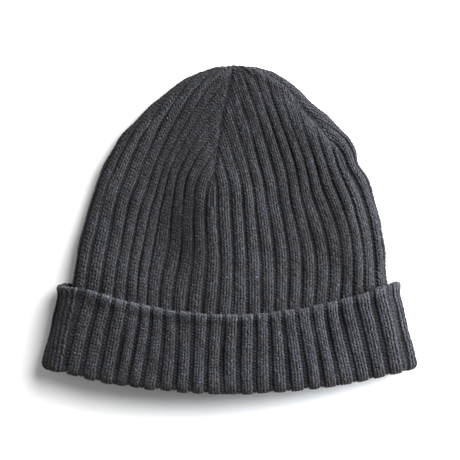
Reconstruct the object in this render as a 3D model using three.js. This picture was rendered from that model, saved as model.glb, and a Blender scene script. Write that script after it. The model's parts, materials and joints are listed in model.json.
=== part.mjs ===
// Watch cap: a ribbed knit cap with its hem turned up into a cuff, lying flat on its back.
//
// The cap is one knitted tube. It closes at the crown in four darts, runs down as the body to the
// fold at the hem, turns outward there, and comes back up over itself as the cuff. So it is one
// solid here too: the wall's two faces are followed as rows, from the tip of the inside, down and
// round the fold, up the cuff, over its edge, down the hidden side and up the body to the tip.
//
// Frame: millimetres, +Z up. The cap rests on z = 0 with its crown towards +Y and its hem to -Y.

import * as THREE from 'three';

// Driving sizes of the cap as it lies
const crownHeight = 152.6;      // tip to the cuff's top edge, along the middle of the front
const cuffHeight = 48.4;        // cuff's top edge to the fold at the hem
const bodyWidth = 190.6;        // across the body where it goes under the cuff
const hemWidth = 230;           // across the fold at the hem
const courseRise = 20.2;        // how much the cuff's ends lie above its middle
const crownLean = 2.6;          // how far the body lies to the right of the hem's middle
const edgeRoll = 8;             // radius of the rolled side edges of the body
const puff = 6;                 // how much the front stands above the side rolls
const dentDepth = 3;            // depth of the main hollows in the front

// Sizes of the knitted fabric
const wall = 3.6;               // thickness over the ribs
const ribDepth = 1.4;           // depth of a groove between two ribs on the outer face
const innerRibDepth = 0.8;      // depth of a groove on the face next to the head
const cuffGap = 0.8;            // air between the cuff and the body
const lipFlare = 2.1;           // how far the cuff's top edge stands away from the body
const lipSwell = 0.9;           // how much thicker the welt on the cuff's top edge is
const goreCount = 4;
const ribsPerGore = 12;
const dartLength = 75.4;        // tip to the start of the darts
const dartStart = 0.3;          // how softly a dart begins, as a width
const dartDepth = 0.8;          // depth of the valley along a dart

// Shapes without a size
const grooveHalf = 0.2;         // half the width of a groove, as a share of one rib
const dartTurn = -0.04;         // place of the front dart, as a share of the way round
const floorLevel = 0;           // what would reach lower is pressed flat where the cap rests

const ribCount = goreCount * ribsPerGore;
const capLength = crownHeight + cuffHeight;
const tipY = capLength / 2;
const cuffLift = wall + cuffGap;
const foldRadius = wall + cuffGap / 2;
const creaseFall = capLength - foldRadius;

// Sections of the body, from the tip down. Lengths are shares of the named sizes: fall of
// crownHeight, half of half the bodyWidth, rise of courseRise, lean of crownLean, roll of
// edgeRoll and swell of puff.
const crownSections = [
  { fall: 0.000, half: 0.000, rise: 0.00, lean: 1.6, roll: 0.00, swell: 0.00 },
  { fall: 0.010, half: 0.090, rise: 0.04, lean: 1.6, roll: 0.60, swell: 0.00 },
  { fall: 0.032, half: 0.146, rise: 0.17, lean: 1.6, roll: 0.86, swell: 0.02 },
  { fall: 0.068, half: 0.198, rise: 0.36, lean: 1.5, roll: 0.98, swell: 0.12 },
  { fall: 0.120, half: 0.258, rise: 0.64, lean: 1.4, roll: 1.00, swell: 0.35 },
  { fall: 0.181, half: 0.336, rise: 0.91, lean: 1.2, roll: 1.00, swell: 0.60 },
  { fall: 0.261, half: 0.455, rise: 1.09, lean: 1.1, roll: 1.00, swell: 0.85 },
  { fall: 0.361, half: 0.588, rise: 1.27, lean: 1.0, roll: 1.00, swell: 1.00 },
  { fall: 0.494, half: 0.750, rise: 1.45, lean: 1.0, roll: 1.00, swell: 1.10 },
  { fall: 0.622, half: 0.857, rise: 1.42, lean: 0.8, roll: 1.00, swell: 1.05 },
  { fall: 0.763, half: 0.936, rise: 1.30, lean: 0.7, roll: 1.00, swell: 1.00 },
  { fall: 0.904, half: 0.992, rise: 1.13, lean: 0.3, roll: 1.00, swell: 1.00 },
  { fall: 1.000, half: 1.010, rise: 0.96, lean: 0.0, roll: 1.00, swell: 1.00 },
];

// Sections under the cuff: down is a share of cuffHeight below its top edge, spread the share
// of the way from the bodyWidth out to the hem, and the other columns are as above.
const hemSections = [
  { down: 0.45, spread: 0.52, rise: 0.86, lean: 0.0, roll: 1.00, swell: 1.00 },
  { down: 0.92, spread: 1.00, rise: 0.74, lean: 0.0, roll: 1.00, swell: 1.00 },
  { down: 1.10, spread: 1.12, rise: 0.70, lean: 0.0, roll: 1.00, swell: 1.00 },
];

// Hollows and swells of the front. across and wide are shares of half the bodyWidth, fall and
// along of crownHeight, and depth of dentDepth. A swell has a depth below 0.
const dents = [
  { across: -0.02, fall: 0.25, wide: 0.24, along: 0.17, depth: 1.4 },
  { across: 0.40, fall: 0.23, wide: 0.13, along: 0.17, depth: -1.2 },
  { across: 0.66, fall: 0.52, wide: 0.11, along: 0.26, depth: -1.0 },
  { across: 0.29, fall: 0.60, wide: 0.17, along: 0.26, depth: 0.9 },
  { across: -0.17, fall: 0.64, wide: 0.14, along: 0.20, depth: -0.6 },
  { across: -0.43, fall: 0.64, wide: 0.12, along: 0.20, depth: 0.8 },
];

// Notches in the right edge of the crown, in millimetres: fall below the tip, half the width
// along the edge, and depth
const notches = [
  { fall: 23, wide: 5, deep: 1.8 },
  { fall: 61, wide: 6, deep: 2.4 },
];

// How many ribs' widths the fabric has slipped round the cap: turn is the share of the way round,
// crown at the start of the darts, body above the cuff, and cuff on the cuff
const slips = [
  { turn: -0.250, crown: 0.90, body: 0.90, cuff: 0.25 },
  { turn: -0.200, crown: 1.00, body: 1.00, cuff: 0.60 },
  { turn: -0.165, crown: 0.90, body: 0.85, cuff: 0.70 },
  { turn: -0.130, crown: 0.35, body: 0.42, cuff: 0.42 },
  { turn: -0.080, crown: -0.05, body: 0.38, cuff: 0.38 },
  { turn: 0.000, crown: 0.15, body: 0.52, cuff: 0.52 },
  { turn: 0.080, crown: 0.15, body: 0.55, cuff: 0.58 },
  { turn: 0.130, crown: -0.10, body: 0.45, cuff: 0.63 },
  { turn: 0.170, crown: -0.30, body: 0.40, cuff: 0.78 },
  { turn: 0.200, crown: -0.30, body: 0.10, cuff: 1.00 },
  { turn: 0.250, crown: -0.10, body: 0.10, cuff: 1.10 },
  { turn: 0.500, crown: 0.40, body: 0.50, cuff: 0.65 },
  { turn: 0.750, crown: 0.90, body: 0.90, cuff: 0.25 },
];
const bodySlipFrom = 50;        // below the start of the darts, the body's column holds

// The cuff's left end isn't held down, and stands off further
const looseEnd = { turn: 0.79, wide: 0.06, more: 1.0 };

// Where the back of the body rises from the ground onto the cuff, as shares of crownHeight
const liftStart = 0.72;
const liftEnd = 0.97;

// What is loose at the front and sides ends here underneath: 0 is the back's middle, 1 the front's
const pressedUpTo = 0.10;
const looseFrom = 0.55;

// Where rows of points lie on each face, from the tip down: shares of crownHeight on the inside
// and on the body, and of cuffHeight below the cuff's top edge on the parts that it covers
const innerRows = [0.012, 0.040, 0.090, 0.170, 0.280, 0.400, 0.494, 0.680, 0.880, 1.060];
const outerRows = [0.010, 0.032, 0.068, 0.120, 0.181, 0.250, 0.325, 0.410, 0.494, 0.610, 0.740,
  0.870, 0.970];
const coveredRows = [0.38];
const cuffRows = [0.12, 0.38, 0.66];
const hiddenRows = [0.50];

// Where rows lie round each bend, as shares of a half turn
const foldTurns = [1.00, 0.75, 0.50, 0.25, 0.00];
const lipTurns = [0.00, 0.33, 0.67, 1.00];
const creaseTurns = [0.00, 0.50];

// Sections of the whole length in millimetres
const halfBody = bodyWidth / 2;
const halfCrease = hemWidth / 2 - cuffLift;

function sectionOf(row, fall, half) {
  return {
    fall,
    half,
    rise: row.rise * courseRise,
    lean: row.lean * crownLean,
    roll: row.roll * edgeRoll,
    swell: row.swell * puff,
  };
}

const sections = [
  ...crownSections.map((row) => sectionOf(row, row.fall * crownHeight, row.half * halfBody)),
  ...hemSections.map((row) => sectionOf(row, crownHeight + row.down * cuffHeight,
    halfBody + row.spread * (halfCrease - halfBody))),
];

// A smooth value between the rows of the table that never swings past its neighbours
function readColumn(name, fall) {
  const last = sections.length - 1;
  let i = 0;
  while (i < last - 1 && sections[i + 1].fall < fall) {
    i += 1;
  }
  const slope = (k) => (sections[k + 1][name] - sections[k][name])
    / (sections[k + 1].fall - sections[k].fall);
  const tangent = (k) => {
    if (k === 0 || k === last) {
      return slope(Math.min(k, last - 1));
    }
    const before = slope(k - 1);
    const after = slope(k);
    return before * after <= 0 ? 0 : 2 * before * after / (before + after);
  };
  const step = sections[i + 1].fall - sections[i].fall;
  const u = Math.min(Math.max((fall - sections[i].fall) / step, 0), 1);
  const from = sections[i][name] * (1 + 2 * u) * (1 - u) ** 2;
  const to = sections[i + 1][name] * u * u * (3 - 2 * u);
  return from + to + step * u * (1 - u) * (tangent(i) * (1 - u) - tangent(i + 1) * u);
}

function smoothStep(low, high, value) {
  const u = Math.min(Math.max((value - low) / (high - low), 0), 1);
  return u * u * (3 - 2 * u);
}

// The body is lifted off the ground where the back of the cuff lies under it
function liftAt(fall) {
  return cuffLift * smoothStep(liftStart * crownHeight, liftEnd * crownHeight, fall);
}

function dentAt(x, y) {
  let depth = 0;
  for (const dent of dents) {
    const across = (x - crownLean - dent.across * halfBody) / (dent.wide * halfBody);
    const along = (tipY - y - dent.fall * crownHeight) / (dent.along * crownHeight);
    depth += dent.depth * dentDepth * Math.exp(-(across ** 2) - along ** 2);
  }
  return depth;
}

function notchAt(y) {
  let depth = 0;
  for (const notch of notches) {
    depth += notch.deep * Math.exp(-(((tipY - y - notch.fall) / notch.wide) ** 2));
  }
  return depth;
}

// One course of the body: a flattened loop with rolled ends that follows an arc in plan. It
// starts at the middle of the front and goes round by the right end and the back.
const loopSteps = 180;
const roundestRoll = 0.96;      // the most that a roll takes of half a course, near the tip
const loops = new Map();

function makeLoop(fall) {
  const half = readColumn('half', fall);
  const swell = readColumn('swell', fall);
  const lean = readColumn('lean', fall);
  const sweep = 2 * Math.atan2(readColumn('rise', fall), half);
  const radius = half / Math.sin(sweep);
  const reach = radius * sweep;
  const roll = Math.min(readColumn('roll', fall), roundestRoll * reach);
  const flat = reach - roll;
  const middle = edgeRoll + liftAt(fall);
  const points = [];
  const put = (along, up, dented) => {
    const angle = along / radius;
    const x = lean + radius * Math.sin(angle);
    const y = tipY - fall + radius * (1 - Math.cos(angle));
    const notched = smoothStep(0.6, 1, (x - lean) / half) * notchAt(y);
    points.push(new THREE.Vector3(x - notched, y, middle + up - dented * dentAt(x, y)));
  };
  const front = (along) => {
    const edge = Math.abs(along / flat);
    put(along, roll + swell * (1 - edge ** 3) ** 2, 1 - edge ** 4);
  };
  for (let i = 0; i < loopSteps; i += 1) {
    front(flat * i / loopSteps);
  }
  for (let i = 0; i < loopSteps; i += 1) {
    const turn = Math.PI * i / loopSteps;
    put(flat + roll * Math.sin(turn), roll * Math.cos(turn), 0);
  }
  for (let i = 0; i < 2 * loopSteps; i += 1) {
    put(flat - flat * i / loopSteps, -roll, 0);
  }
  for (let i = 0; i < loopSteps; i += 1) {
    const turn = Math.PI * i / loopSteps;
    put(-flat - roll * Math.sin(turn), -roll * Math.cos(turn), 0);
  }
  for (let i = 0; i <= loopSteps; i += 1) {
    front(flat * i / loopSteps - flat);
  }
  const lengths = [0];
  for (let i = 1; i < points.length; i += 1) {
    lengths.push(lengths[i - 1] + points[i].distanceTo(points[i - 1]));
  }
  return { points, lengths, girth: lengths[lengths.length - 1] };
}

function loopAt(fall) {
  if (!loops.has(fall)) {
    loops.set(fall, makeLoop(fall));
  }
  return loops.get(fall);
}

// A point of the skin over the body's ribs, at a share of the way round
function skinPoint(fall, share) {
  const loop = loopAt(fall);
  const wanted = (share - Math.floor(share)) * loop.girth;
  let low = 0;
  let high = loop.lengths.length - 1;
  while (high - low > 1) {
    const mid = Math.floor((low + high) / 2);
    if (loop.lengths[mid] <= wanted) {
      low = mid;
    } else {
      high = mid;
    }
  }
  const part = (wanted - loop.lengths[low]) / (loop.lengths[high] - loop.lengths[low]);
  return loop.points[low].clone().lerp(loop.points[high], part);
}

// The outward normal there, from the skin a small step to either side
const shareStep = 0.004;
const longestFallStep = 1;

function skinNormal(fall, share) {
  const fallStep = Math.min(longestFallStep, fall / 2);
  const along = skinPoint(fall + fallStep, share).sub(skinPoint(fall - fallStep, share));
  const around = skinPoint(fall, share + shareStep).sub(skinPoint(fall, share - shareStep));
  return along.cross(around).normalize();
}

// Where a rib lies on a course. Ribs keep their width above the start of the darts, so each
// gore loses ribs along both its edges, and a lost rib's points all lie on the dart.
function placeRib(fall, rib) {
  const girth = loopAt(fall).girth;
  const even = girth / ribCount;
  const short = loopAt(dartLength).girth / ribCount - even;
  const ribWidth = even + (short + Math.hypot(short, dartStart)) / 2;
  const goreHalf = girth / goreCount / 2 / ribWidth;
  const gore = Math.floor(rib / ribsPerGore);
  const local = rib - (gore + 0.5) * ribsPerGore;
  const lost = fall < dartLength && Math.abs(local) >= goreHalf;
  const kept = Math.sign(local) * Math.min(Math.abs(local), goreHalf);
  const dart = (local > 0 ? gore + 1 : gore + goreCount) % goreCount;
  return { share: dartTurn + (gore + 0.5) / goreCount + kept * ribWidth / girth, lost, dart };
}

// The place on the skin of a share of the way round, after the fabric has slipped. onCuff is 1
// for the cuff's columns and 0 for the body's.
function slipTo(fall, share, onCuff) {
  const turn = share - Math.floor(share + 0.25);
  let i = 0;
  while (i < slips.length - 2 && slips[i + 1].turn < turn) {
    i += 1;
  }
  const u = (turn - slips[i].turn) / (slips[i + 1].turn - slips[i].turn);
  const read = (name) => slips[i][name] * (1 - u) + slips[i + 1][name] * u;
  const down = smoothStep(dartLength, dartLength + bodySlipFrom, fall);
  const under = read('crown') * (1 - down) + read('body') * down;
  return share + (under * (1 - onCuff) + read('cuff') * onCuff) / ribCount;
}

// What is loose on the front and at the sides is pressed flat underneath
function looseAt(share) {
  return smoothStep(pressedUpTo, looseFrom, 0.5 + 0.5 * Math.cos(2 * Math.PI * share));
}

// One row of points across all ribs. rib and groove each hold a fall and a height over the
// skin. phase is where the grooves lie, 0.5 on the outer face and 0 on the face next to the head.
function ribRow({ rib, groove, phase, onCuff, dartHeight, flare = 0, swell = 0 }) {
  const row = [];
  for (let k = 0; k < ribCount; k += 1) {
    for (const side of [-1, 0, 1]) {
      const { fall, height } = side === 0 ? groove : rib;
      const placed = placeRib(Math.min(fall, creaseFall), k + phase + side * grooveHalf);
      const beside = (placed.share - Math.floor(placed.share) - looseEnd.turn) / looseEnd.wide;
      const stood = flare * (1 + looseEnd.more * Math.exp(-(beside ** 2))) + swell;
      const up = (placed.lost ? dartHeight : height) + stood * looseAt(placed.share);
      const share = slipTo(fall, placed.share, onCuff);
      const point = skinPoint(fall, share);
      point.addScaledVector(skinNormal(fall, share), up);
      point.z = Math.max(point.z, floorLevel);
      row.push({ point, dart: placed.lost ? placed.dart : null });
    }
  }
  return row;
}

const flareAt = (fall) => lipFlare * smoothStep(creaseFall, crownHeight, fall);
const rows = [];

// Inside of the body, next to the head
for (const share of innerRows) {
  const fall = share * crownHeight;
  const rib = { fall, height: -wall };
  const groove = { fall, height: innerRibDepth - wall };
  const onCuff = smoothStep(crownHeight, creaseFall, fall);
  rows.push(ribRow({ rib, groove, phase: 0, onCuff, dartHeight: -wall }));
}

// Round the fold at the hem, about a line in the middle of the gap
for (const turn of foldTurns) {
  const angle = Math.PI * turn;
  const sink = innerRibDepth * turn + ribDepth * (1 - turn);
  const onFold = (radius) => ({
    fall: creaseFall + radius * Math.sin(angle),
    height: cuffGap / 2 + radius * Math.cos(angle),
  });
  rows.push(ribRow({ rib: onFold(foldRadius), groove: onFold(foldRadius - sink), phase: 0, onCuff: 1 }));
}

// Outside of the cuff, going up
for (const share of [...cuffRows].reverse()) {
  const fall = crownHeight + share * cuffHeight;
  const rib = { fall, height: cuffLift };
  const groove = { fall, height: cuffLift - ribDepth };
  rows.push(ribRow({ rib, groove, phase: 0, onCuff: 1, flare: flareAt(fall) }));
}

// Over the welt at the cuff's top edge, where the ribs fade
for (const turn of lipTurns) {
  const angle = Math.PI * turn;
  const edge = {
    fall: crownHeight + (1 - Math.sin(angle)) * wall / 2,
    height: cuffGap + wall / 2 + Math.cos(angle) * wall / 2,
  };
  const swell = lipSwell * (1 - turn);
  rows.push(ribRow({
    rib: edge, groove: edge, phase: turn / 2, onCuff: 1, flare: lipFlare, swell,
  }));
}

// Hidden side of the cuff, going down, and the crease above the fold
for (const share of hiddenRows) {
  const fall = crownHeight + share * cuffHeight;
  const hidden = { fall, height: cuffGap };
  rows.push(ribRow({ rib: hidden, groove: hidden, phase: 0.5, onCuff: 1, flare: flareAt(fall) }));
}
for (const turn of creaseTurns) {
  const crease = { fall: creaseFall + turn * cuffGap, height: cuffGap * (1 - turn) };
  rows.push(ribRow({ rib: crease, groove: crease, phase: 0.5, onCuff: 1 }));
}

// Outside of the body, from the crease up to the tip
const bodyFalls = [
  ...outerRows.map((share) => share * crownHeight),
  ...coveredRows.map((share) => crownHeight + share * cuffHeight),
  creaseFall,
];
for (const fall of bodyFalls.reverse()) {
  const rib = { fall, height: 0 };
  const groove = { fall, height: -ribDepth };
  const onCuff = smoothStep(crownHeight, creaseFall, fall);
  rows.push(ribRow({ rib, groove, phase: 0.5, onCuff, dartHeight: -dartDepth }));
}

// One closed mesh: the rows joined by strips, and a fan at each tip
const positions = [];
const triangles = [];

function addPoint(point) {
  positions.push(point.x, point.y, point.z);
  return positions.length / 3 - 1;
}

function addTriangle(a, b, c) {
  if (a !== b && b !== c && c !== a) {
    triangles.push(a, b, c);
  }
}

const rings = rows.map((row) => {
  const onDart = new Map();
  return row.map(({ point, dart }) => {
    if (dart === null) {
      return addPoint(point);
    }
    if (!onDart.has(dart)) {
      onDart.set(dart, addPoint(point));
    }
    return onDart.get(dart);
  });
});

const tipX = readColumn('lean', 0);
const innerTip = addPoint(new THREE.Vector3(tipX, tipY - wall, edgeRoll));
const outerTip = addPoint(new THREE.Vector3(tipX, tipY, edgeRoll));
const pointsPerRib = 3;
const around = ribCount * pointsPerRib;
for (let k = 0; k < around; k += 1) {
  const next = (k + 1) % around;
  addTriangle(innerTip, rings[0][next], rings[0][k]);
  for (let i = 0; i + 1 < rings.length; i += 1) {
    addTriangle(rings[i][k], rings[i][next], rings[i + 1][next]);
    addTriangle(rings[i][k], rings[i + 1][next], rings[i + 1][k]);
  }
  addTriangle(outerTip, rings[rings.length - 1][k], rings[rings.length - 1][next]);
}

const knitGeometry = new THREE.BufferGeometry();
knitGeometry.setAttribute('position', new THREE.Float32BufferAttribute(positions, 3));
knitGeometry.setIndex(triangles);
knitGeometry.computeVertexNormals();

const charcoalWool = new THREE.MeshStandardMaterial({
  color: '#3d3e43',
  roughness: 0.95,
  metalness: 0,
});
const knitCap = new THREE.Mesh(knitGeometry, charcoalWool);
knitCap.name = 'knit_cap';

const watchCap = new THREE.Group();
watchCap.add(knitCap);

export default watchCap;
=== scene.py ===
# %% [markdown]
# # A ribbed watch cap, lying flat
#
# The real cap is one knitted tube. Its crown closes in four darts, and its hem is turned up into a
# cuff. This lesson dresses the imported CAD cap: first the knitted fabric as one closed surface, then
# the stitches that lie on its ribs, then the wool, the floor, the light and the camera.
#
# Everything is in metres, in the CAD's own frame: +X to the right, +Y from the hem to the crown's
# tip, and +Z up from the surface that the cap lies on.

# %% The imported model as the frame
import json
import math

import bmesh
import bpy
import numpy as np
from mathutils import Matrix, Vector

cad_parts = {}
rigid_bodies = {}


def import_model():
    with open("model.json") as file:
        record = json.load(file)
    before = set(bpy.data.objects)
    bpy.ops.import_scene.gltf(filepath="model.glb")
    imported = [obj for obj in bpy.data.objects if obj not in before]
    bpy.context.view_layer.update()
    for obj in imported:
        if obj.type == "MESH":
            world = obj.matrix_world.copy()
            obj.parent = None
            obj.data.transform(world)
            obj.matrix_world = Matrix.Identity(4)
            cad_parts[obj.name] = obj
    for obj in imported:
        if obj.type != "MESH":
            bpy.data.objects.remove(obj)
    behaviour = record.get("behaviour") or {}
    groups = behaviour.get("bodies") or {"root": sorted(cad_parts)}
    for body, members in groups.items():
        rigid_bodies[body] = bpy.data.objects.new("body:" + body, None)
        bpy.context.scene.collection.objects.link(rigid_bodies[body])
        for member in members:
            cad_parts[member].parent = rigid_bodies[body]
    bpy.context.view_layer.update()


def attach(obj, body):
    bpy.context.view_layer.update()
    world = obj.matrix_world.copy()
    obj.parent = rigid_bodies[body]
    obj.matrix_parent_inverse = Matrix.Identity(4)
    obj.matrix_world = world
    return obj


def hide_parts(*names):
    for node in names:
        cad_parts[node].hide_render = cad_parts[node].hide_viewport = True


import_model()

# %% [markdown]
# ## Sizes
#
# The sizes are those of the CAD model, because the knitted surface has to lie where the solid is.
# They could be measured from the loaded mesh, but the mesh has only three points for each rib. The
# same sizes and the same short tables give a surface as fine as the stitches need.

# %% Sizes of the cap and its fabric
MM = 0.001

crown_height = 152.6 * MM
cuff_height = 48.4 * MM
body_width = 190.6 * MM
hem_width = 230 * MM
course_rise = 20.2 * MM
crown_lean = 2.6 * MM
edge_roll = 8 * MM
puff = 6 * MM
dent_depth = 3.0 * MM

wall = 3.6 * MM
cuff_gap = 0.8 * MM
lip_flare = 2.1 * MM
lip_swell = 1.3 * MM
gore_count = 4
ribs_per_gore = 12
dart_length = 75.4 * MM
dart_depth = 0.8 * MM
dart_turn = -0.04

rib_count = gore_count * ribs_per_gore
cap_length = crown_height + cuff_height
tip_y = cap_length / 2
cuff_lift = wall + cuff_gap
fold_radius = wall + cuff_gap / 2
crease_fall = cap_length - fold_radius
half_body = body_width / 2
half_crease = hem_width / 2 - cuff_lift
print("from fold to tip:", round(cap_length, 4), "ribs:", rib_count)

# %% [markdown]
# ## The shape of one course
#
# A course is one row of stitches round the cap. Lying flat, it is a squashed loop: two faces with
# rolled ends, bent into a shallow arc in plan. Five numbers say how it looks at each height: its
# half width, the rise of its arc, its lean to the right, the radius of its rolled ends and how far
# its front swells. A smooth curve through a few rows of each is enough, and easy to correct.

# %% Sections from the tip down to the hem
CROWN_SECTIONS = {
    # shares of crown_height, half_body, course_rise, crown_lean, edge_roll and puff
    "fall": [0, 0.010, 0.032, 0.068, 0.120, 0.181, 0.261, 0.361, 0.494, 0.622, 0.763, 0.904, 1],
    "half": [0, 0.090, 0.146, 0.198, 0.258, 0.336, 0.455, 0.588, 0.750, 0.857, 0.936, 0.992, 1.01],
    "rise": [0, 0.04, 0.17, 0.36, 0.64, 0.91, 1.09, 1.27, 1.45, 1.42, 1.30, 1.13, 0.96],
    "lean": [1.6, 1.6, 1.6, 1.5, 1.4, 1.2, 1.1, 1, 1, 0.8, 0.7, 0.3, 0],
    "roll": [0, 0.60, 0.86, 0.98, 1, 1, 1, 1, 1, 1, 1, 1, 1],
    "swell": [0, 0, 0.02, 0.12, 0.35, 0.60, 0.85, 1, 1.10, 1.05, 1, 1, 1],
}
HEM_SECTIONS = {
    # down is a share of cuff_height, spread the share of the way from the body to the hem
    "down": [0.45, 0.92, 1.10],
    "spread": [0.52, 1.00, 1.12],
    "rise": [0.86, 0.74, 0.70],
    "lean": [0, 0, 0],
    "roll": [1, 1, 1],
    "swell": [1, 1, 1],
}
UNITS = {"rise": course_rise, "lean": crown_lean, "roll": edge_roll, "swell": puff}

spread = np.array(HEM_SECTIONS["spread"])
section_fall = np.concatenate([
    np.array(CROWN_SECTIONS["fall"]) * crown_height,
    crown_height + np.array(HEM_SECTIONS["down"]) * cuff_height,
])
sections = {name: np.array(CROWN_SECTIONS[name] + HEM_SECTIONS[name]) * unit
            for name, unit in UNITS.items()}
sections["half"] = np.concatenate([
    np.array(CROWN_SECTIONS["half"]) * half_body,
    half_body + spread * (half_crease - half_body),
])


def section_curve(name, fall):
    """A smooth curve through one column of the table that never swings past its neighbours."""
    value = sections[name]
    step = np.diff(section_fall)
    slope = np.diff(value) / step
    product = slope[:-1] * slope[1:]
    total = np.where(product > 0, slope[:-1] + slope[1:], 1)
    inner = np.where(product > 0, 2 * product / total, 0)
    tangent = np.concatenate([slope[:1], inner, slope[-1:]])
    i = np.clip(np.searchsorted(section_fall, fall) - 1, 0, len(slope) - 1)
    u = np.clip((fall - section_fall[i]) / step[i], 0, 1)
    ends = value[i] * (1 + 2 * u) * (1 - u) ** 2 + value[i + 1] * u * u * (3 - 2 * u)
    return ends + step[i] * u * (1 - u) * (tangent[i] * (1 - u) - tangent[i + 1] * u)


def smooth_step(low, high, value):
    """0 before low, 1 after high, and a soft change between them."""
    u = np.clip((value - low) / (high - low), 0, 1)
    return u * u * (3 - 2 * u)


print("half width at the darts' start:", round(float(section_curve("half", dart_length)), 4))

# %% [markdown]
# ## Hollows, ridges and notches
#
# The crown isn't stiff, so its front sinks in some places and stands up in others, mostly along
# its right side, and that edge dips in twice. Each hollow is a soft round dip with its own place,
# size and depth, and a ridge is one with a negative depth. A sculpted mesh could show the same, but
# forms that are named here can be moved one by one.

# %% Dents of the front face and notches of the right edge
DENTS = {
    # shares of half_body, crown_height, half_body, crown_height and dent_depth
    "across": [-0.40, 0.10, 0.68, 0.62, 0.82, 0.94, 0.29, -0.17, -0.43, -0.48],
    "fall": [0.27, 0.26, 0.17, 0.28, 0.52, 0.74, 0.60, 0.64, 0.64, 0.76],
    "wide": [0.50, 0.24, 0.34, 0.14, 0.19, 0.22, 0.17, 0.14, 0.12, 0.28],
    "along": [0.22, 0.18, 0.17, 0.14, 0.22, 0.22, 0.26, 0.20, 0.20, 0.30],
    "depth": [1.7, 0.6, -2.6, -0.5, -1.9, -1.8, 0.9, -0.6, 0.8, 1.0],
}
NOTCHES = {
    # in mm: how far below the tip, how wide along the edge, and how deep
    "fall": [23, 61],
    "wide": [5, 6],
    "deep": [1.8, 2.4],
}


def dent_at(x, y):
    """How deep all dents together are at a place seen from above."""
    total = np.zeros_like(x)
    for i, depth in enumerate(DENTS["depth"]):
        across = x - crown_lean - DENTS["across"][i] * half_body
        along = tip_y - y - DENTS["fall"][i] * crown_height
        across = across / (DENTS["wide"][i] * half_body)
        along = along / (DENTS["along"][i] * crown_height)
        total += depth * dent_depth * np.exp(-across ** 2 - along ** 2)
    return total


# %% [markdown]
# ## The skin over the ribs
#
# All courses together make the skin that the ribs' tops lie on. It is worked out once, as a fine
# grid of points from the tip to the hem and all the way round, with the outward direction at each
# point. Whatever is placed later looks its place up there, so the fabric and the stitches agree.

# %% A grid of skin points
ARC_STEPS = 120
AROUND = 1440
TIP_FALL = 0.05 * MM
LIFT_START = 0.72
LIFT_END = 0.97
ROUNDEST_ROLL = 0.96
DENTS_END = 10
NOTCH_FROM = 0.6

stations = np.concatenate([
    np.geomspace(TIP_FALL, 6 * MM, 36),
    np.arange(6.5, 203.1, 0.5) * MM,
])


def course_loops(fall):
    """The flattened loop of each course, one row of points for each, from the front's middle."""
    fall = fall[:, None]
    half = section_curve("half", fall)
    lean = section_curve("lean", fall)
    swell = section_curve("swell", fall)
    sweep = 2 * np.arctan2(section_curve("rise", fall), half)
    radius = half / np.sin(sweep)
    reach = radius * sweep
    roll = np.minimum(section_curve("roll", fall), ROUNDEST_ROLL * reach)
    flat = reach - roll
    lift = cuff_lift * smooth_step(LIFT_START * crown_height, LIFT_END * crown_height, fall)

    part = np.arange(ARC_STEPS)[None, :] / ARC_STEPS
    back = np.arange(2 * ARC_STEPS)[None, :] / ARC_STEPS
    last = np.arange(ARC_STEPS + 1)[None, :] / ARC_STEPS
    turn = math.pi * part
    flat_to = np.broadcast_to(flat, (len(fall), ARC_STEPS))
    along = np.concatenate([
        flat * part,
        flat_to + roll * np.sin(turn),
        flat - flat * back,
        -flat_to - roll * np.sin(turn),
        flat * last - flat,
    ], axis=1)
    front_edges = [np.abs(part), 1 - last]
    front_up = [roll + swell * (1 - edge ** 3) ** 2 for edge in front_edges]
    up = np.concatenate([
        front_up[0],
        roll * np.cos(turn),
        np.broadcast_to(-roll, (len(fall), 2 * ARC_STEPS)),
        -roll * np.cos(turn),
        front_up[1],
    ], axis=1)
    dented = np.concatenate([
        np.broadcast_to(1 - front_edges[0] ** DENTS_END, (len(fall), ARC_STEPS)),
        np.zeros((len(fall), 4 * ARC_STEPS)),
        np.broadcast_to(1 - front_edges[1] ** DENTS_END, (len(fall), ARC_STEPS + 1)),
    ], axis=1)
    x = lean + radius * np.sin(along / radius)
    y = tip_y - fall + radius * (1 - np.cos(along / radius))
    z = edge_roll + lift + up - dented * dent_at(x, y)
    at_edge = smooth_step(NOTCH_FROM, 1, (x - lean) / half)
    for place, wide, deep in zip(NOTCHES["fall"], NOTCHES["wide"], NOTCHES["deep"]):
        x = x - deep * MM * at_edge * np.exp(-((tip_y - y - place * MM) / (wide * MM)) ** 2)
    return np.stack([x, y, z], axis=2)


loops = course_loops(stations)
skin_grid = np.empty((len(stations), AROUND, 3))
girths = np.empty(len(stations))
for i, loop in enumerate(loops):
    lengths = np.concatenate([[0], np.cumsum(np.linalg.norm(np.diff(loop, axis=0), axis=1))])
    girths[i] = lengths[-1]
    wanted = np.arange(AROUND) / AROUND * lengths[-1]
    for axis in range(3):
        skin_grid[i, :, axis] = np.interp(wanted, lengths, loop[:, axis])

NORMAL_REACH = 6
down_grid = np.gradient(skin_grid, stations, axis=0)
round_grid = np.roll(skin_grid, -NORMAL_REACH, axis=1) - np.roll(skin_grid, NORMAL_REACH, axis=1)
normal_grid = np.cross(down_grid, round_grid)
normal_grid /= np.linalg.norm(normal_grid, axis=2, keepdims=True)
print("skin grid:", skin_grid.shape, "girth at the hem:", round(float(girths[-1]), 4))


def on_grid(grid, fall, turn):
    """A value of the grid between its points. turn is the share of the way round."""
    i = np.clip(np.searchsorted(stations, fall) - 1, 0, len(stations) - 2)
    a = np.clip((fall - stations[i]) / (stations[i + 1] - stations[i]), 0, 1)[..., None]
    place = np.mod(turn, 1.0) * AROUND
    j = np.floor(place).astype(int) % AROUND
    b = (place - np.floor(place))[..., None]
    k = (j + 1) % AROUND
    upper = grid[i, j] * (1 - b) + grid[i, k] * b
    lower = grid[i + 1, j] * (1 - b) + grid[i + 1, k] * b
    return upper * (1 - a) + lower * a


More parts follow.
